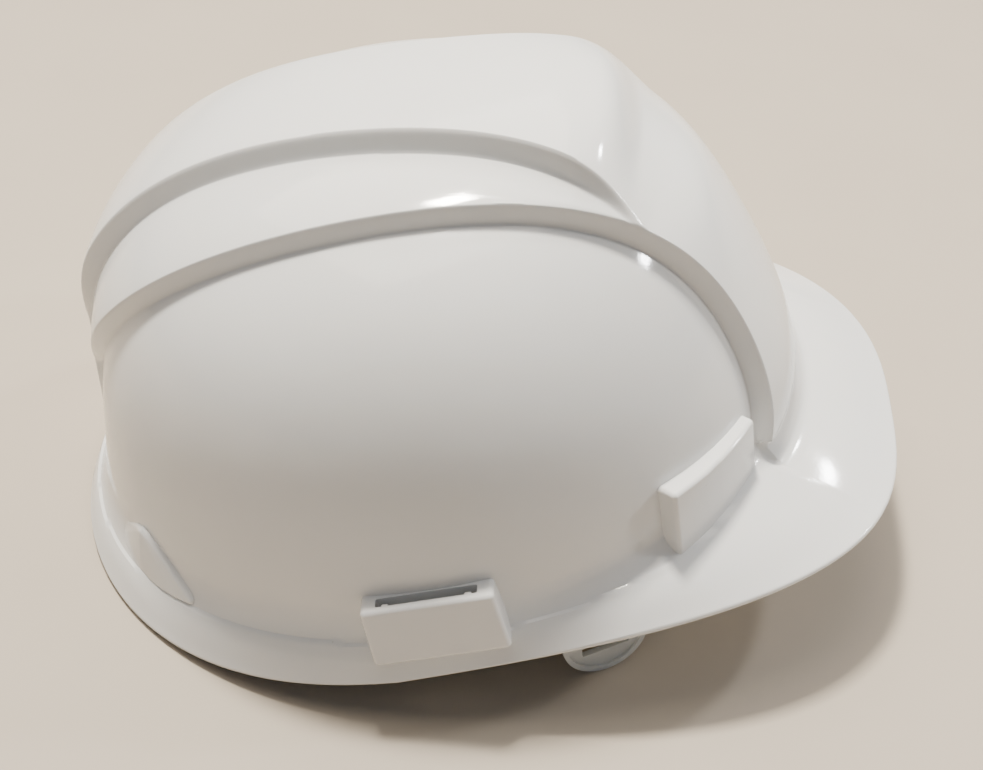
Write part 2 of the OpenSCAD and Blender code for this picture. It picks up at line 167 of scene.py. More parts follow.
def half_columns(t):
    """Angles across, from the middle to the side, packed at the ridges' edges."""
    crown, broad = crown_half(t), broad_half(t)
    middle, reach = (crown + broad) / 2, EDGE / 2 + 0.1
    knots = [0 * t, crown - reach, np.minimum(crown + reach, middle - 0.12),
             np.maximum(broad - reach, middle + 0.12), broad + reach, 46 + 0 * t, 74 + 0 * t, 90 + 0 * t]
    counts = (9, 8, 5, 8, 38, 26, 18)
    parts = [knots[0][:, None]]
    for low, high, n in zip(knots, knots[1:], counts):
        parts.append(low[:, None] + (high - low)[:, None] * np.arange(1, n + 1) / n)
    return np.concatenate(parts, 1)


def dome_angles(rows):
    half = half_columns(rows)
    across = np.concatenate([-half[:, :0:-1], half], 1)
    return np.broadcast_to(rows[:, None], across.shape), across


class Brim:
    """The flare from the brim line to the rim, along the headings az."""

    def __init__(self, az):
        level = heading(az, np.zeros_like(az))
        base = lean(dome_point(level)[0])
        flare = rim_curve(az) - base
        out = np.linalg.norm(flare[:, :2], axis=1)
        self.up = np.stack([-flare[:, 2] * flare[:, 0] / out, -flare[:, 2] * flare[:, 1] / out, out], -1)
        self.up /= np.linalg.norm(flare, axis=1)[:, None]
        self.ray = flare / np.linalg.norm(flare, axis=1)[:, None]
        self.start = base + flare * (ridge(level) / out)[:, None]
        self.run = np.linalg.norm(rim_curve(az) - self.start, axis=1)
        rise = skin(heading(az, np.full_like(az, math.radians(3)))) - self.start
        self.wall = rise / np.linalg.norm(rise, axis=1)[:, None]

    def at(self, distance, inward=0.0):
        share = np.clip(distance / self.run, 0, 1)
        bulge = BRIM_BULGE * 16 * (share * (1 - share)) ** 2
        return self.start + self.ray * np.reshape(distance, (-1, 1)) + self.up * (bulge - inward)[:, None]

    def rounded(self, side, distance):
        """Point of the cove at the brim line. side is 1 up the dome and -1 out on the brim."""
        k = (0.5 + 0.5 * side * np.clip(distance / FILLET, 0, 1))[:, None]
        low, high = self.start + self.ray * FILLET, self.start + self.wall * FILLET
        return (1 - k) ** 2 * low + 2 * k * (1 - k) * self.start + k ** 2 * high


def outer_dome(rows):
    t, b = dome_angles(rows)
    d = direction(t, b)
    points = skin(d).reshape(-1, 3)
    d = d.reshape(-1, 3)
    low = np.nonzero(d[:, 2] < 0.15)[0]
    brim = Brim(np.arctan2(d[low, 1], d[low, 0]))
    distance = np.linalg.norm(points[low] - brim.start, axis=1)
    near = distance < FILLET
    points[low[near]] = brim.rounded(1, distance)[near]
    return points.reshape(t.shape + (3,))


def ring_of(values):
    """The dome's open edge, from the right side round the front and then the rear."""
    return np.concatenate([values[-1], values[0, -2:0:-1]])


class MeshMaker:
    """Collects points and faces, with the dome's poles shared by all its rows."""

    def __init__(self):
        self.points, self.faces = [], []

    def add(self, points):
        first = len(self.points)
        self.points.extend(map(tuple, points))
        return np.arange(first, first + len(points))

    def dome(self, grid):
        rows, cols = grid.shape[:2]
        poles = self.add(grid[0, [0, -1]])
        inner = self.add(grid[:, 1:-1].reshape(-1, 3)).reshape(rows, cols - 2)
        left, right = np.full((rows, 1), poles[0]), np.full((rows, 1), poles[1])
        return np.concatenate([left, inner, right], 1)

    def patch(self, ids, flip=False):
        rows, cols = ids.shape
        for i in range(rows - 1):
            for j in range(cols - 1):
                face = list(dict.fromkeys(
                    (int(ids[i, j]), int(ids[i + 1, j]), int(ids[i + 1, j + 1]), int(ids[i, j + 1]))))
                self.faces.append(face[::-1] if flip else face)

    def band(self, ring_a, ring_b):
        n = len(ring_a)
        for k in range(n):
            m = (k + 1) % n
            self.faces.append([int(ring_a[k]), int(ring_b[k]), int(ring_b[m]), int(ring_a[m])])

    def mesh(self, name):
        made = bpy.data.meshes.new(name)
        made.from_pydata(self.points, [], self.faces)
        made.validate()
        bm = bmesh.new()
        bm.from_mesh(made)
        bmesh.ops.recalc_face_normals(bm, faces=bm.faces)
        bm.to_mesh(made)
        bm.free()
        return made


def shell_skin():
    """Closed mesh of the plain shell, without its lugs."""
    maker = MeshMaker()
    rows = np.append(graded([(0, 12, 0.6), (12, 24, 1.0), (24, 98, 1.5), (98, 138, 0.6), (138, 158, 0.9),
                             (158, 180, 0.45)]), 180.0)
    outer = maker.dome(outer_dome(rows))
    d = direction(*dome_angles(rows))
    edge = ring_of(d)
    brim = Brim(np.arctan2(edge[:, 1], edge[:, 0]))
    rings = [ring_of(outer)]
    for s in np.linspace(0, 1, 22)[1:-1]:
        distance = s * brim.run
        ring = brim.at(distance)
        near = distance < FILLET
        ring[near] = brim.rounded(-1, distance)[near]
        rings.append(maker.add(ring))
    for a in np.radians(np.linspace(90, -90, 9)):
        lip = brim.up * math.sin(a) + brim.ray * (math.cos(a) - 1)
        rings.append(maker.add(brim.at(brim.run, WALL / 2) + lip * WALL / 2))
    for s in np.linspace(1, 0, 12)[1:-1]:
        rings.append(maker.add(brim.at(s * brim.run, WALL)))
    rows = np.append(graded([(0, 180, 3.2)]), 180.0)
    grid = skin(direction(*dome_angles(rows)), WALL)
    inner = maker.dome(grid)
    rings.append(ring_of(inner))
    maker.patch(outer, flip=True)
    maker.patch(inner)
    for ring_a, ring_b in zip(rings, rings[1:]):
        maker.band(ring_a, ring_b)
    return maker.mesh("cap_shell")


def inside_fill():
    """Everything inside the middle of the shell's wall, closed below."""
    maker = MeshMaker()
    rows = np.append(graded([(0, 180, 3.0)]), 180.0)
    dome = maker.dome(skin(direction(*dome_angles(rows)), WALL / 2))
    edge = ring_of(direction(*dome_angles(rows)))
    brim = Brim(np.arctan2(edge[:, 1], edge[:, 0]))
    rings = [ring_of(dome)] + [maker.add(brim.at(s * brim.run, WALL / 2)) for s in (0.5, 1.0)]
    low = brim.at(brim.run)
    low[:, 2] = -60
    rings.append(maker.add(low))
    maker.patch(dome, flip=True)
    for ring_a, ring_b in zip(rings, rings[1:]):
        maker.band(ring_a, ring_b)
    maker.faces.append([int(k) for k in rings[-1]])
    return solid("fill", maker.mesh("fill"))


# ---- Solids to join to the shell and cut from it ----

def solid(name, mesh):
    piece = bpy.data.objects.new(name, mesh)
    bpy.context.scene.collection.objects.link(piece)
    return piece


def rounded_hull(bm, centres, radius, place, segments=14):
    """Adds the hull of equal spheres, set down by place, a matrix."""
    ball = bmesh.new()
    bmesh.ops.create_uvsphere(ball, u_segments=segments, v_segments=segments // 2, radius=radius)
    around = [v.co.copy() for v in ball.verts]
    ball.clear()
    for centre in centres:
        for spot in around:
            ball.verts.new(centre + spot)
    bmesh.ops.convex_hull(ball, input=ball.verts)
    loose = [v for v in ball.verts if not v.link_faces]
    bmesh.ops.delete(ball, geom=loose, context="VERTS")
    bmesh.ops.recalc_face_normals(ball, faces=ball.faces)
    ball.transform(place)
    if place.is_negative:
        bmesh.ops.reverse_faces(ball, faces=ball.faces)
    made = bpy.data.meshes.new("hull")
    ball.to_mesh(made)
    ball.free()
    bm.from_mesh(made)
    bpy.data.meshes.remove(made)


def box_centres(low, high, radius):
    low, high = Vector(low), Vector(high)
    return [Vector((x, y, z)) for x in (low.x + radius, high.x - radius)
            for y in (low.y + radius, high.y - radius) for z in (low.z + radius, high.z - radius)]


def move(x, y, z):
    return Matrix.Translation((x, y, z))


def turn(degrees, axis):
    return Matrix.Rotation(math.radians(degrees), 4, axis)


MIRROR = Matrix.Scale(-1, 4, (0, 1, 0))
SIDES = (Matrix.Identity(4), MIRROR)
SLOT_PLACE = move(12, 101.6, 6) @ turn(-4.3, "Z") @ turn(-7.3, "Y")
KEY_FRONT, KEY_REAR, CROWN_X, STRAP_AZ = 104.0, 117.0, 8.0, 36.0
FRONT_KEY = move(CROWN_X, 0, 0) @ turn(STRAP_AZ, "Z") @ move(KEY_FRONT, 0, 0)
REAR_KEY = move(CROWN_X, 0, 0) @ turn(180 - STRAP_AZ, "Z") @ move(KEY_REAR, 0, 0)
REAR_LUG = move(-85, 71, 0) @ turn(138, "Z")
CHIN_PLACE = move(62.3, 87.6, 0) @ turn(64, "Z")
LUG_R = 1.7


def lug_shapes():
    """Centres of the hulls' spheres for the slot box, front lug and rear lug, with their places."""
    slot = [(x * k, y, z) for x in (-18.6, 18.6) for k, y, z in
            ((1, -5, 1.3), (1, 5.3, 1.3), (1.05, -5, -17), (1.05, 7.3, -17))]
    front = [(-7, -19, 23.2), (-7, 19, 23.2), (-7, -19, -2), (-7, 19, -2)]
    for y in (-19, -13, -6.5, 0, 6.5, 13, 19):
        bow = 6.6 - 0.005 * y * y
        front += [(bow - 0.6, y, 23.2), (bow + 0.7, y, -2)]
    rear = []
    for y in (-24, -18, -12, -6, 0, 6, 12, 18, 24):
        rear.append((3 - y * y * 0.008, y, -13 + abs(y) * 0.06))
        rear.append((-0.5 - y * y * 0.010, y * 0.7, 1.5 - abs(y) * 0.28))
        rear.append((-9, y * 0.8, -13))
    return ((slot, SLOT_PLACE), (front, FRONT_KEY), (rear, REAR_LUG))


def hulls(name, shapes, radius, segments=14):
    bm = bmesh.new()
    for centres, place in shapes:
        for side in SIDES:
            rounded_hull(bm, [Vector(c) for c in centres], radius, side @ place, segments)
    made = bpy.data.meshes.new(name)
    bm.to_mesh(made)
    bm.free()
    return solid(name, made)


def combine(piece, other, operation):
    join = piece.modifiers.new("join", "BOOLEAN")
    join.solver = "MANIFOLD"
    join.operation = operation
    join.object = other
    view = bpy.context.evaluated_depsgraph_get()
    made = bpy.data.meshes.new_from_object(piece.evaluated_get(view))
    piece.modifiers.clear()
    piece.data = made
    bpy.data.objects.remove(other)


def shell_piece():
    piece = solid("cap_shell", shell_skin())
    fill = inside_fill()
    lug = hulls("lug", lug_shapes(), LUG_R)
    bosses = hulls("boss", (
        (box_centres((-7, -16, 6), (5, 16, 23), 0.8), FRONT_KEY),
        (box_centres((-7, -16, -8), (1, 16, 9), 0.8), REAR_KEY),
        (box_centres((-6.4, 11, -1), (2, 13.4, 12), 0.5), CHIN_PLACE),
        (box_centres((-6.4, -13.4, -1), (2, -11, 12), 0.5), CHIN_PLACE)), 0.5, 8)
    lips = hulls("lips", (
        (box_centres((-6.5, 8.6, -1.1), (-5.2, 13.5, 12.1), 0.3), CHIN_PLACE),
        (box_centres((-6.5, -13.5, -1.1), (-5.2, -8.6, 12.1), 0.3), CHIN_PLACE)), 0.3, 8)
    cuts = hulls("cuts", (
        (box_centres((-15.5, 1.3, -26), (15.5, 4.7, 8), 0.6), SLOT_PLACE),
        (box_centres((-13, -14, 8), (4, 14, 21), 0.5), FRONT_KEY),
        (box_centres((-13, -14, -6), (-5.6, 14, 7), 0.5), REAR_KEY)), 0.5, 8)
    nubs = hulls("nubs", (
        (box_centres((-13.6, 3.6, -9), (-11.4, 5.6, 2.9), 0.4), SLOT_PLACE),
        (box_centres((11.4, 3.6, -9), (13.6, 5.6, 2.9), 0.4), SLOT_PLACE)), 0.4, 8)
    keep = solid("keep", fill.data.copy())
    combine(lug, fill, "DIFFERENCE")
    combine(bosses, keep, "INTERSECT")
    for part, operation in ((lug, "UNION"), (bosses, "UNION"), (lips, "UNION"), (cuts, "DIFFERENCE"),
                            (nubs, "UNION")):
        combine(piece, part, operation)
    return piece


# ---- Placing pieces ----

def finish_piece(piece, body, slot_name, material, *replaced, sharp=35):
    piece.data.transform(STANCE)
    piece.data.materials.clear()
    piece.data.materials.append(material)
    piece.data.polygons.foreach_set("use_smooth", [True] * len(piece.data.polygons))
    piece.data.set_sharp_from_angle(angle=math.radians(sharp))
    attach(piece, body)
    if replaced:
        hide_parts(*replaced)
    return piece


def even_normals(piece):
    weigh = piece.modifiers.new("normals", "WEIGHTED_NORMAL")
    weigh.keep_sharp = True
    weigh.weight = 80


def soften(node, material, width=0.4, segments=2):
    """Rounds a CAD node's edges, smooths its shading and gives it its material."""
    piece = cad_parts[node]
    piece.data.materials.clear()
    piece.data.materials.append(material)
    piece.data.polygons.foreach_set("use_smooth", [True] * len(piece.data.polygons))
    weld = piece.modifiers.new("weld", "WELD")
    weld.merge_threshold = 1e-6
    merge = piece.modifiers.new("merge", "DECIMATE")
    merge.decimate_type = "DISSOLVE"
    merge.angle_limit = math.radians(0.6)
    edge = piece.modifiers.new("edge", "BEVEL")
    edge.width = width * MM
    edge.segments = segments
    edge.limit_method = "ANGLE"
    edge.angle_limit = math.radians(40)
    edge.use_clamp_overlap = True
    even_normals(piece)


# ---- Webbing straps ----

STRAP_TOP, STRAP_BASE, STRAP_T, PLATE_IN = 84.0, 8.0, 1.2, 12.0
FOLD_GAP, FOLD_Z, TAIL_Z = 1.55, 17.5, 39.0
STRAP_SECTION = ((-10, 0), (-9.85, 0.38), (-9.3, 0.56), (-7, 0.6), (-3.5, 0.63), (0, 0.64),
                 (3.5, 0.63), (7, 0.6), (9.3, 0.56), (9.85, 0.38))


def strap_path(lift):
    """Middle of the webbing in the strap's plane, with both ends folded back on themselves."""
    path = []
    for reach, sign in ((KEY_FRONT - PLATE_IN, 1), (KEY_REAR - PLATE_IN, -1)):
        t = np.radians(np.linspace(7, 90, 60))
        r = (reach - 0.6) * np.cos(t) ** 0.8
        z = STRAP_BASE + (STRAP_TOP - STRAP_BASE - 0.6) * np.sin(t) ** 0.8
        keep = z > FOLD_Z
        leg = np.stack([r[keep], z[keep] + lift], -1)
        foot = leg[0]
        bend = np.radians(np.linspace(0, 180, 9)[1:-1])
        fold = np.stack([foot[0] - 0.85 + 0.85 * np.cos(bend), foot[1] - 0.85 * np.sin(bend)], -1)[::-1]
        tail = leg[leg[:, 1] < TAIL_Z + lift][::-1] - (FOLD_GAP, 0)
        tail[:, 0] += 0.25 * smooth((tail[:, 1] - TAIL_Z + 9 - lift) / 9)
        half = np.concatenate([tail, fold, leg]) * (sign, 1)
        path.append(half)
    return np.concatenate([path[0], path[1][-2::-1]])


def strap_mesh(name, side, lift):
    path = strap_path(lift)
    step = np.gradient(path, axis=0)
    along = np.concatenate([[0], np.cumsum(np.linalg.norm(np.diff(path, axis=0), axis=1))])
    normal = np.stack([-step[:, 1], step[:, 0]], -1)
    normal /= np.linalg.norm(normal, axis=1)[:, None]
    section = np.array(STRAP_SECTION + tuple((-x, -y) for x, y in STRAP_SECTION))
    girth = np.concatenate([[0], np.cumsum(np.linalg.norm(np.diff(section, axis=0), axis=1))])
    bm = bmesh.new()
    uv = bm.loops.layers.uv.new("weave")
    rings = []
    for (x, z), n in zip(path, normal):
        ring = [bm.verts.new((x + n[0] * h, w, z + n[1] * h)) for w, h in section]
        rings.append(ring)
    count = len(section)
    for i in range(len(rings) - 1):
        for k in range(count):
            m = (k + 1) % count
            face = bm.faces.new((rings[i][k], rings[i + 1][k], rings[i + 1][m], rings[i][m]))
            ends = (along[i], along[i + 1], along[i + 1], along[i])
            wide = [section[k][0], section[k][0], section[m][0], section[m][0]]
            for loop, u, v in zip(face.loops, ends, wide):
                loop[uv].uv = (u * MM, v * MM)
    bm.faces.new(rings[0][::-1])
    bm.faces.new(rings[-1])
    bmesh.ops.recalc_face_normals(bm, faces=bm.faces)
    bm.transform(side @ move(CROWN_X, 0, 0) @ turn(STRAP_AZ, "Z"))
    if side.is_negative:
        bmesh.ops.reverse_faces(bm, faces=bm.faces)
    made = bpy.data.meshes.new(name)
    bm.to_mesh(made)
    bm.free()
    return solid(name, made)


# ---- Stitches ----

CROWN_BOX = 6
STITCH_ROWS, STITCH_HALF = (24, 35), 7.5
TAIL_FACE = 0.62

def stitch_run(bm, start, end, normal, pitch=3.0, length=2.1, radius=0.27):
    """Lays a row of stitches from start to end, half sunk in the cloth."""
    start, end, normal = Vector(start), Vector(end), Vector(normal).normalized()
    run = end - start
    count = max(1, round(run.length / pitch))
    ahead = run.normalized()
    aside = normal.cross(ahead)
    for k in range(count):
        centre = start + run * ((k + 0.5) / count)
        axes = Matrix((ahead * length / 2, aside * radius, normal * radius * 1.2))
        place = Matrix.Translation(centre) @ axes.transposed().to_4x4() @ turn(90, "Y")
        bmesh.ops.create_uvsphere(bm, u_segments=6, v_segments=6, radius=1, matrix=place)


def stitch_piece(name, bm, slot_name, material, *replaced):
    made = bpy.data.meshes.new(name)
    bm.to_mesh(made)
    bm.free()
    return finish_piece(solid(name, made), "cap", slot_name, material, *replaced, sharp=80)


def crown_stitches():
    bm = bmesh.new()
    for z, up in ((STRAP_TOP + STRAP_T - 0.05, 1), (STRAP_TOP - STRAP_T + 0.03, -1)):
        corners = [Vector((CROWN_X + CROWN_BOX * x, CROWN_BOX * y, z))
                   for x, y in ((1, 1), (-1, 1), (-1, -1), (1, -1))]
        for k in range(4):
            stitch_run(bm, corners[k], corners[(k + 1) % 4], (0, 0, up))
        stitch_run(bm, corners[0], corners[2], (0, 0, up))
        stitch_run(bm, corners[1], corners[3], (0, 0, up))
    return bm


def strap_reach(z, reach):
    rise = (z - STRAP_BASE) / (STRAP_TOP - STRAP_BASE - 0.6)
    return (reach - 0.6) * math.cos(math.asin(rise ** 1.25)) ** 0.8


def end_stitches():
    """A crossed box of stitches on each folded end."""
    bm = bmesh.new()
    for side, lift_front, lift_rear in ((SIDES[0], 0, STRAP_T), (SIDES[1], STRAP_T, 0)):
        ends = ((KEY_FRONT - PLATE_IN, STRAP_AZ, lift_front),
                (KEY_REAR - PLATE_IN, 180 - STRAP_AZ, lift_rear))
        for reach, az, lift in ends:
            place = side @ move(CROWN_X, 0, 0) @ turn(az, "Z")
            row = []
            for z in STITCH_ROWS:
                face = strap_reach(z, reach) - FOLD_GAP - TAIL_FACE
                row.append([place @ Vector((face, y, z + lift)) for y in (-STITCH_HALF, STITCH_HALF)])
            inward = place.to_3x3() @ Vector((-1, 0, -0.2))
            stitch_run(bm, row[0][0], row[0][1], inward)
            stitch_run(bm, row[1][0], row[1][1], inward)
            stitch_run(bm, row[0][0], row[1][0], inward)
            stitch_run(bm, row[0][1], row[1][1], inward)
            stitch_run(bm, row[0][0], row[1][1], inward)
            stitch_run(bm, row[0][1], row[1][0], inward)
    return bm


# ---- Pads ----

NAPE_X, BAND_SIDE, BAND_FRONT, BAND_N, BAND_T = -14.0, 78.0, 115.0, 2.2, 1.6


def band_curve(t, inset):
    """Point and outward normal of the headband's front half, at the angle t."""
    a, b = BAND_FRONT - inset, BAND_SIDE - inset
    x = a * np.abs(np.cos(t)) ** (2 / BAND_N)
    y = b * np.sign(t) * np.abs(np.sin(t)) ** (2 / BAND_N)
    n = np.stack([np.abs(x / a) ** (BAND_N - 1) / a, np.sign(y) * np.abs(y / b) ** (BAND_N - 1) / b], -1)
    return np.stack([x + NAPE_X, y], -1), n / np.linalg.norm(n, axis=-1, keepdims=True)


def sweatband_place(u, v, depth):
    spot, normal = band_curve(np.radians(80 * u), BAND_T + 0.1)
    flat = spot - normal * depth[..., None]
    return np.concatenate([flat, (-13 + 15.6 * v)[..., None]], -1)


def nape_pad_place(u, v, depth):
    angle, r = np.radians(30 * u), 75.2 - depth
    return np.stack([NAPE_X - r * np.cos(angle), r * np.sin(angle), -6.5 + 13.2 * v], -1)


def pad_mesh(name, place, nu, nv, thick, seams, rim=0.9):
    """Closed, crowned pad. seams are channels that pull it in, as (which, where, width, pull)."""
    u = np.sin(np.linspace(-1, 1, nu) * math.pi / 2 * rim) / math.sin(math.pi / 2 * rim)
    v = np.sin(np.linspace(-1, 1, nv) * math.pi / 2 * rim) / math.sin(math.pi / 2 * rim)
    grid_u, grid_v = np.meshgrid(u, v, indexing="ij")
    ends = 1 - np.abs(grid_u) ** 60
    crown = np.sqrt(np.clip(ends * (1 - np.abs(grid_v) ** 5), 0, 1))
    depth = thick * (0.12 + 0.88 * crown)
    for which, where, width, pull in seams:
        far = (grid_u if which == "u" else grid_v) - where
        depth -= pull * np.exp(-(far / width) ** 2) * (crown > 0.05)
    front = place(grid_u, grid_v, depth)
    back = place(grid_u, grid_v, np.zeros_like(depth))
    maker = MeshMaker()
    ids_f = maker.add(front.reshape(-1, 3)).reshape(nu, nv)
    ids_b = maker.add(back.reshape(-1, 3)).reshape(nu, nv)
    maker.patch(ids_f)
    maker.patch(ids_b, flip=True)
    loop = [(i, 0) for i in range(nu)] + [(nu - 1, j) for j in range(1, nv)]
    loop += [(i, nv - 1) for i in range(nu - 2, -1, -1)] + [(0, j) for j in range(nv - 2, 0, -1)]
    maker.band([ids_b[p] for p in loop], [ids_f[p] for p in loop])
    return solid(name, maker.mesh(name))


def plump(piece, pressure, cap, frames=10):
    """Blows the pad up as cloth under pressure. No point moves more than cap millimetres."""
    before = np.zeros(len(piece.data.vertices) * 3)
    piece.data.vertices.foreach_get("co", before)
    cloth = piece.modifiers.new("cloth", "CLOTH")
    cloth.settings.use_pressure = True
    cloth.settings.uniform_pressure_force = pressure
    cloth.settings.effector_weights.gravity = 0
    cloth.settings.quality = 4
    cloth.settings.mass = 0.1
    cloth.settings.tension_stiffness = 25
    cloth.settings.compression_stiffness = 25
    cloth.settings.bending_stiffness = 0.4
    scene = bpy.context.scene
    for k in range(1, frames + 1):
        scene.frame_set(k)
    view = bpy.context.evaluated_depsgraph_get()
    after = np.zeros_like(before)
    piece.evaluated_get(view).data.vertices.foreach_get("co", after)
    piece.modifiers.clear()
    scene.frame_set(1)
    shift = (after - before).reshape(-1, 3)
    size = np.linalg.norm(shift, axis=1)[:, None]
    shift *= np.minimum(1, cap * MM / np.maximum(size, 1e-9))
    piece.data.vertices.foreach_set("co", (before.reshape(-1, 3) + shift).ravel())
    piece.data.update()


def subdivide(piece, levels=1):
    smoother = piece.modifiers.new("smooth", "SUBSURF")
    smoother.levels = smoother.render_levels = levels


def pad_seam_stitches(place, rows, nu):
    bm = bmesh.new()
    for v, depth in rows:
        u = np.linspace(-0.97, 0.97, nu)
        spots = place(u, np.full_like(u, v), np.full_like(u, depth))
        deeper = place(u, np.full_like(u, v), np.full_like(u, depth + 1))
        for a, b, n in zip(spots, spots[1:], deeper - spots):
            stitch_run(bm, a, b, n, pitch=10)
    return bm


# ---- Materials ----

def put(node, values):
    """Sets inputs by name or index, to a value or to another node's output."""
    tree = node.id_data
    for key, value in values.items():
        if isinstance(value, bpy.types.NodeSocket):
            tree.links.new(value, node.inputs[key])
        else:
            node.inputs[key].default_value = value
    return node


def add_node(tree, kind, values, **settings):
    node = tree.nodes.new("ShaderNode" + kind)
    for key, value in settings.items():
        setattr(node, key, value)
    return put(node, values)


def new_material(name):
    mat = bpy.data.materials.new(name)
    mat.use_nodes = True
    tree = mat.node_tree
    return mat, tree, tree.nodes["Principled BSDF"]


def math_node(tree, operation, *values):
    return add_node(tree, "Math", dict(enumerate(values)), operation=operation).outputs[0]


def place_of(tree, stretch=(1, 1, 1)):
    spot = add_node(tree, "TexCoord", {}).outputs["Object"]
    if stretch == (1, 1, 1):
        return spot
    return add_node(tree, "Mapping", {"Vector": spot, "Scale": stretch}).outputs[0]


def noise(tree, size_mm, detail=2.0, stretch=(1, 1, 1), rough=0.5):
    """Noise from 0 to 1 whose lumps are about size_mm across."""
    return add_node(tree, "TexNoise", {
        "Vector": place_of(tree, stretch), "Scale": 1000 / size_mm,
        "Detail": detail, "Roughness": rough}).outputs[0]


def ramp(tree, value, low, high, out_low=0.0, out_high=1.0):
    return add_node(tree, "MapRange", {0: value, 1: low, 2: high, 3: out_low, 4: out_high}).outputs[0]


def blend_colour(tree, factor, one, two):
    return add_node(tree, "Mix", {0: factor, 6: one, 7: two}, data_type="RGBA").outputs[2]


def bump(tree, height, depth_mm, under=None):
    values = {"Height": height, "Distance": depth_mm * MM, "Strength": 1.0}
    if under is not None:
        values["Normal"] = under
    return add_node(tree, "Bump", values).outputs[0]


def specks(tree, spacing_mm, radius, share):
    """Sparse round specks, 1 inside: one in each cell for the given share of cells."""
    cell = add_node(tree, "TexVoronoi", {"Vector": place_of(tree), "Scale": 1000 / spacing_mm})
    draw = add_node(tree, "SeparateColor", {0: cell.outputs["Color"]}).outputs[0]
    chance = math_node(tree, "GREATER_THAN", draw, 1 - share)
    return math_node(tree, "MULTIPLY", ramp(tree, cell.outputs["Distance"], radius, radius * 0.6), chance)


def cap_plastic():
    mat, tree, shader = new_material("cap_plastic")
    tone = blend_colour(tree, noise(tree, 90), (0.80, 0.795, 0.765, 1), (0.845, 0.845, 0.835, 1))
    cloud = ramp(tree, noise(tree, 14, 4), 0.3, 0.75)
    tone = blend_colour(tree, math_node(tree, "MULTIPLY", cloud, 0.35), tone, (0.79, 0.785, 0.765, 1))
    dust = specks(tree, 9, 0.035, 0.16)
    tone = blend_colour(tree, math_node(tree, "MULTIPLY", dust, 0.5), tone, (0.42, 0.38, 0.32, 1))
    hair = ramp(tree, noise(tree, 2.2, 3, (1, 0.05, 0.4)), 0.62, 0.72)
    hair2 = ramp(tree, noise(tree, 2.6, 3, (0.06, 1, 0.5)), 0.63, 0.72)
    hairs = math_node(tree, "MAXIMUM", hair, hair2)
    scuff = math_node(tree, "MULTIPLY", hairs, ramp(tree, noise(tree, 40), 0.5, 0.7))
    gloss = ramp(tree, noise(tree, 30, 5), 0.3, 0.7, 0.07, 0.13)
    gloss = math_node(tree, "ADD", gloss, math_node(tree, "MULTIPLY", scuff, 0.14))
    gloss = math_node(tree, "ADD", gloss, math_node(tree, "MULTIPLY", dust, 0.4))
    flow = bump(tree, noise(tree, 26, 1), 0.16)
    peel = bump(tree, noise(tree, 1.3, 2), 0.010, flow)
    fine = bump(tree, math_node(tree, "SUBTRACT", dust, scuff), 0.012, peel)
    put(shader, {"Base Color": tone, "Roughness": gloss, "Normal": fine, "Subsurface Weight": 0.12,
                 "Subsurface Radius": (1.0, 0.85, 0.7), "Subsurface Scale": 0.0025, "IOR": 1.5})
    return mat


def natural_plastic():
    mat, tree, shader = new_material("natural_plastic")
    tone = blend_colour(tree, noise(tree, 12, 3), (0.66, 0.67, 0.64, 1), (0.74, 0.755, 0.73, 1))
    scuff = ramp(tree, noise(tree, 1.6, 4, (1, 0.15, 1)), 0.6, 0.75)
    tone = blend_colour(tree, math_node(tree, "MULTIPLY", scuff, 0.4), tone, (0.80, 0.81, 0.79, 1))
    gloss = ramp(tree, noise(tree, 5, 4), 0.3, 0.7, 0.28, 0.42)
    coarse = bump(tree, noise(tree, 7, 1), 0.06)
    fine = bump(tree, noise(tree, 0.5, 3), 0.012, coarse)
    put(shader, {"Base Color": tone, "Roughness": gloss, "Normal": fine, "Subsurface Weight": 0.55,
                 "Subsurface Radius": (1.0, 1.0, 0.95), "Subsurface Scale": 0.004})
    return mat


def dark_nylon():
    mat, tree, shader = new_material("dark_nylon")
    tone = blend_colour(tree, noise(tree, 6, 4), (0.018, 0.018, 0.020, 1), (0.036, 0.036, 0.039, 1))
    wear = ramp(tree, noise(tree, 3, 5, (1, 0.3, 1)), 0.6, 0.8)
    tone = blend_colour(tree, math_node(tree, "MULTIPLY", wear, 0.35), tone, (0.09, 0.09, 0.092, 1))
    cells = add_node(tree, "TexVoronoi", {"Vector": place_of(tree), "Scale": 1000 / 0.55})
    gloss = ramp(tree, noise(tree, 4, 3), 0.3, 0.7, 0.42, 0.58)
    soft = bump(tree, cells.outputs["Distance"], 0.03)
    relief = bump(tree, noise(tree, 8, 1), 0.05, soft)
    put(shader, {"Base Color": tone, "Roughness": gloss, "Normal": relief})
    return mat


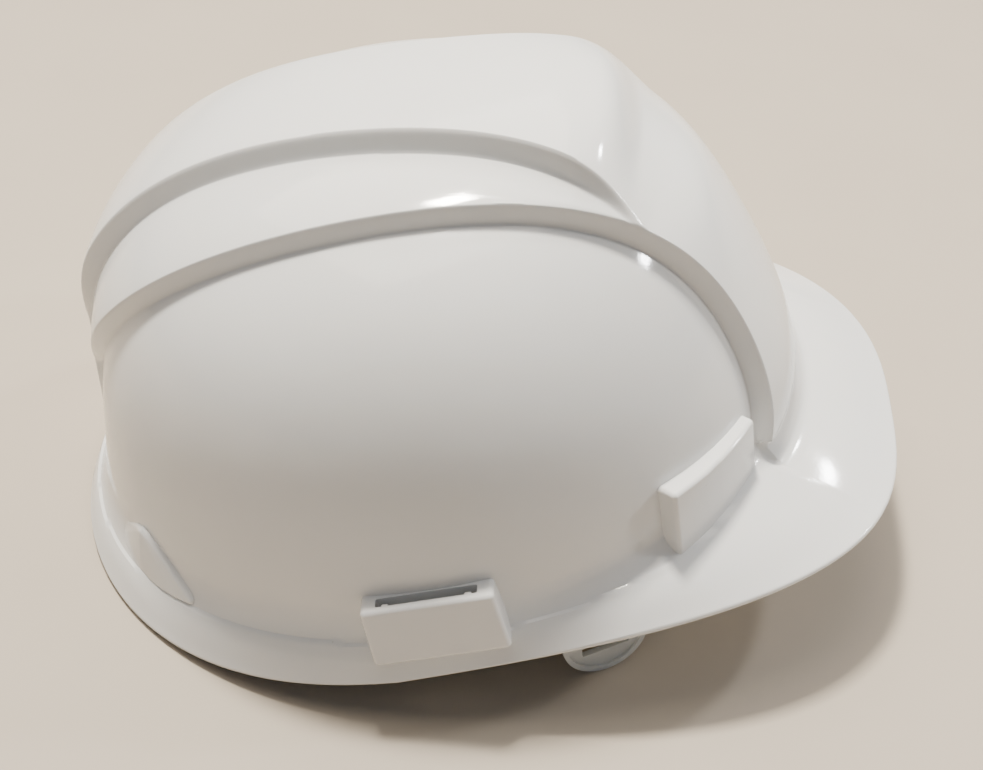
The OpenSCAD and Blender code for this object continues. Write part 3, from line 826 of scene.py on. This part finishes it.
def webbing():
    """Narrow woven polyester: warp cords along the strap, crossed by fine weft."""
    mat, tree, shader = new_material("webbing")
    uv = add_node(tree, "UVMap", {}, uv_map="weave").outputs[0]
    split = add_node(tree, "SeparateXYZ", {0: uv})
    along, across = split.outputs[0], split.outputs[1]
    cord = math_node(tree, "SINE", math_node(tree, "MULTIPLY", across, 2 * math.pi / (1.25 * MM)))
    row = math_node(tree, "FLOOR", math_node(tree, "MULTIPLY", across, 1 / (0.625 * MM)))
    stagger = math_node(tree, "MULTIPLY", math_node(tree, "MODULO", row, 2), math.pi)
    wave = math_node(tree, "MULTIPLY", along, 2 * math.pi / (1.7 * MM))
    weft = math_node(tree, "SINE", math_node(tree, "ADD", wave, stagger))
    height = math_node(tree, "ADD", math_node(tree, "MULTIPLY", math_node(tree, "ABSOLUTE", cord), 0.6),
                       math_node(tree, "MULTIPLY", weft, 0.4))
    fuzz = noise(tree, 0.35, 3)
    height = math_node(tree, "ADD", height, math_node(tree, "MULTIPLY", fuzz, 0.35))
    # Painted shade: the weave's low parts are coloured darker and its raised cords lighter, from the same
    # height as the bump; the fuzz adds random fibre tone.
    shade = ramp(tree, height, -0.3, 0.9)
    tone = blend_colour(tree, shade, (0.30, 0.30, 0.285, 1), (0.70, 0.70, 0.68, 1))
    grime = math_node(tree, "MULTIPLY", noise(tree, 16, 4), 0.35)
    tone = blend_colour(tree, grime, tone, (0.50, 0.49, 0.45, 1))
    put(shader, {"Base Color": tone, "Roughness": ramp(tree, height, -0.3, 0.9, 0.9, 0.62),
                 "Normal": bump(tree, height, 0.16), "Sheen Weight": 0.25, "Sheen Roughness": 0.4})
    return mat


def cloth(name, dark, light, sheen, size_mm, depth_mm):
    """Brushed or knitted cloth over foam, with loops of size_mm."""
    mat, tree, shader = new_material(name)
    cells = add_node(tree, "TexVoronoi", {"Vector": place_of(tree), "Scale": 1000 / size_mm})
    loops = cells.outputs["Distance"]
    fibre = noise(tree, size_mm * 0.35, 4)
    height = math_node(tree, "ADD", math_node(tree, "MULTIPLY", fibre, 0.6),
                       math_node(tree, "SUBTRACT", 1.0, loops))
    # Painted shade: the hollows between loops are coloured darker and the loop tops lighter, from the same
    # height as the bump; the fibre noise adds random tone.
    tone = blend_colour(tree, ramp(tree, height, 0.5, 1.4), dark, light)
    worn = math_node(tree, "MULTIPLY", ramp(tree, noise(tree, 22, 4), 0.5, 0.8), 0.35)
    tone = blend_colour(tree, worn, tone, [c * 1.7 for c in light[:3]] + [1])
    lumps = bump(tree, noise(tree, 9, 2), 0.35)
    put(shader, {"Base Color": tone, "Roughness": ramp(tree, fibre, 0.3, 0.7, 0.82, 0.98),
                 "Normal": bump(tree, height, depth_mm, lumps), "Sheen Weight": sheen,
                 "Sheen Roughness": 0.45, "Specular IOR Level": 0.25})
    return mat


def sewing_thread():
    mat, tree, shader = new_material("sewing_thread")
    wave = add_node(tree, "TexWave", {"Vector": place_of(tree), "Scale": 900.0, "Distortion": 1.5})
    twist = wave.outputs[1]
    # Painted shade: the grooves of the twist are coloured darker and its ridges lighter, following the same
    # bands as the bump.
    tone = blend_colour(tree, twist, (0.03, 0.03, 0.033, 1), (0.10, 0.10, 0.105, 1))
    put(shader, {"Base Color": tone, "Roughness": ramp(tree, twist, 0, 1, 0.45, 0.7),
                 "Normal": bump(tree, twist, 0.05), "Sheen Weight": 0.2})
    return mat


def zinc():
    mat, tree, shader = new_material("zinc")
    lay = noise(tree, 0.6, 4, (1, 1, 0.2))
    tone = blend_colour(tree, noise(tree, 2, 3), (0.50, 0.50, 0.49, 1), (0.66, 0.66, 0.67, 1))
    put(shader, {"Base Color": tone, "Metallic": 1.0, "Roughness": ramp(tree, lay, 0.3, 0.7, 0.24, 0.42),
                 "Normal": bump(tree, lay, 0.01)})
    return mat


CAP = cap_plastic()
NATURAL = natural_plastic()
DARK = dark_nylon()
WEBBING = webbing()
TERRY = cloth("terry", (0.012, 0.012, 0.014, 1), (0.055, 0.055, 0.06, 1), 0.5, 0.9, 0.25)
FOAM = cloth("foam_cloth", (0.016, 0.016, 0.018, 1), (0.06, 0.06, 0.065, 1), 0.35, 1.4, 0.2)
THREAD = sewing_thread()
ZINC = zinc()

# ---- Pieces ----

shell = finish_piece(shell_piece(), "cap", "cap", CAP, "shell", sharp=32)
even_normals(shell)

strap_a = strap_mesh("webbing_a", SIDES[0], 0)
finish_piece(strap_a, "cap", "webbing", WEBBING, "crown_strap_a", sharp=50)
strap_b = strap_mesh("webbing_b", SIDES[1], STRAP_T)
finish_piece(strap_b, "cap", "webbing", WEBBING, "crown_strap_b", sharp=50)
stitch_piece("crown_stitches", crown_stitches(), "thread", THREAD, "crown_stitching")
stitch_piece("end_stitches", end_stitches(), "thread", THREAD, "strap_end_stitching")

sweat_seams = [("v", -0.8, 0.07, 1.3), ("v", 0.8, 0.07, 1.3)]
sweatband = pad_mesh("sweatband_pad", sweatband_place, 150, 25, 3.5, sweat_seams)
finish_piece(sweatband, "cap", "sweatband", TERRY, "sweatband", sharp=180)
plump(sweatband, 3.0, 0.8)
subdivide(sweatband)
nape_seams = [("u", -0.36, 0.05, 1.7), ("u", 0.36, 0.05, 1.7)]
nape_pad = pad_mesh("nape_cushion", nape_pad_place, 70, 25, 4.0, nape_seams)
finish_piece(nape_pad, "cap", "foam", FOAM, "nape_pad", sharp=180)
plump(nape_pad, 3.0, 0.8)
subdivide(nape_pad)
seam = pad_seam_stitches(sweatband_place, ((-0.8, 2.35), (0.8, 2.35)), 96)
stitch_piece("sweatband_stitches", seam, "thread", THREAD)

for side in ("left", "right"):
    for name in ("key_front_", "key_rear_", "chin_lug_"):
        soften(name + side, NATURAL, 0.45)
    soften("nape_link_" + side, NATURAL, 0.4)
    soften("nape_arm_" + side, NATURAL, 0.2, 1)
soften("headband", NATURAL, 0.4)
soften("ratchet_housing", DARK, 0.5)
soften("ratchet_cover", DARK, 0.4)
soften("ratchet_knob", DARK, 0.5)
soften("pinion", DARK, 0.15, 1)
soften("detent_ring", NATURAL, 0.15, 1)
soften("knob_screw", ZINC, 0.15, 1)

# ---- Studio ----


def studio():
    bpy.ops.mesh.primitive_plane_add(size=6)
    floor = bpy.context.object
    floor.name = "floor"
    mat, tree, shader = new_material("floor_paint")
    tone = blend_colour(tree, noise(tree, 60, 4), (0.47, 0.40, 0.32, 1), (0.51, 0.44, 0.35, 1))
    put(shader, {"Base Color": tone, "Roughness": 0.62})
    floor.data.materials.append(mat)
    world = bpy.data.worlds.new("studio")
    bpy.context.scene.world = world
    world.use_nodes = True
    world.node_tree.nodes["Background"].inputs[0].default_value = (0.80, 0.87, 1.0, 1)
    world.node_tree.nodes["Background"].inputs[1].default_value = 0.22
    lights = (("ceiling", (-0.25, 0.45, 1.45), 1.5, 22, (1, 0.91, 0.78)),
              ("overhead", (-0.22, 0.32, 1.48), 0.18, 46, (1, 0.94, 0.84)),
              ("window", (1.09, 0.72, 1.08), 0.11, 9, (1, 1, 1)),
              ("lamp", (1.40, 0.28, 0.82), 0.11, 8, (1, 1, 1)))
    for name, place, size, power, colour in lights:
        data = bpy.data.lights.new(name, "AREA")
        data.size, data.energy, data.color = size, power, colour
        lamp = bpy.data.objects.new(name, data)
        lamp.location = place
        lamp.rotation_euler = (Vector((0, 0, 0.08)) - Vector(place)).to_track_quat("-Z", "Y").to_euler()
        bpy.context.scene.collection.objects.link(lamp)


VIEW_AZ, VIEW_EL, VIEW_ROLL = (math.radians(a) for a in (3.41, 41.05, 2.21))
VIEW_FROM = 0.5204
VIEW_AT = Vector((0.00186, 0, 0.04013))
FOCAL = 54.93


def photo_camera():
    data = bpy.data.cameras.new("camera")
    data.lens = FOCAL
    data.sensor_width = 36
    camera = bpy.data.objects.new("camera", data)
    level = Vector((math.sin(VIEW_AZ), -math.cos(VIEW_AZ), 0)) * math.cos(VIEW_EL)
    back = level + Vector((0, 0, math.sin(VIEW_EL)))
    tilt = back.to_track_quat("Z", "Y").to_matrix().to_4x4() @ Matrix.Rotation(VIEW_ROLL, 4, "Z")
    camera.matrix_world = Matrix.Translation(VIEW_AT + back * VIEW_FROM) @ tilt
    bpy.context.scene.collection.objects.link(camera)
    bpy.context.scene.camera = camera


studio()
photo_camera()
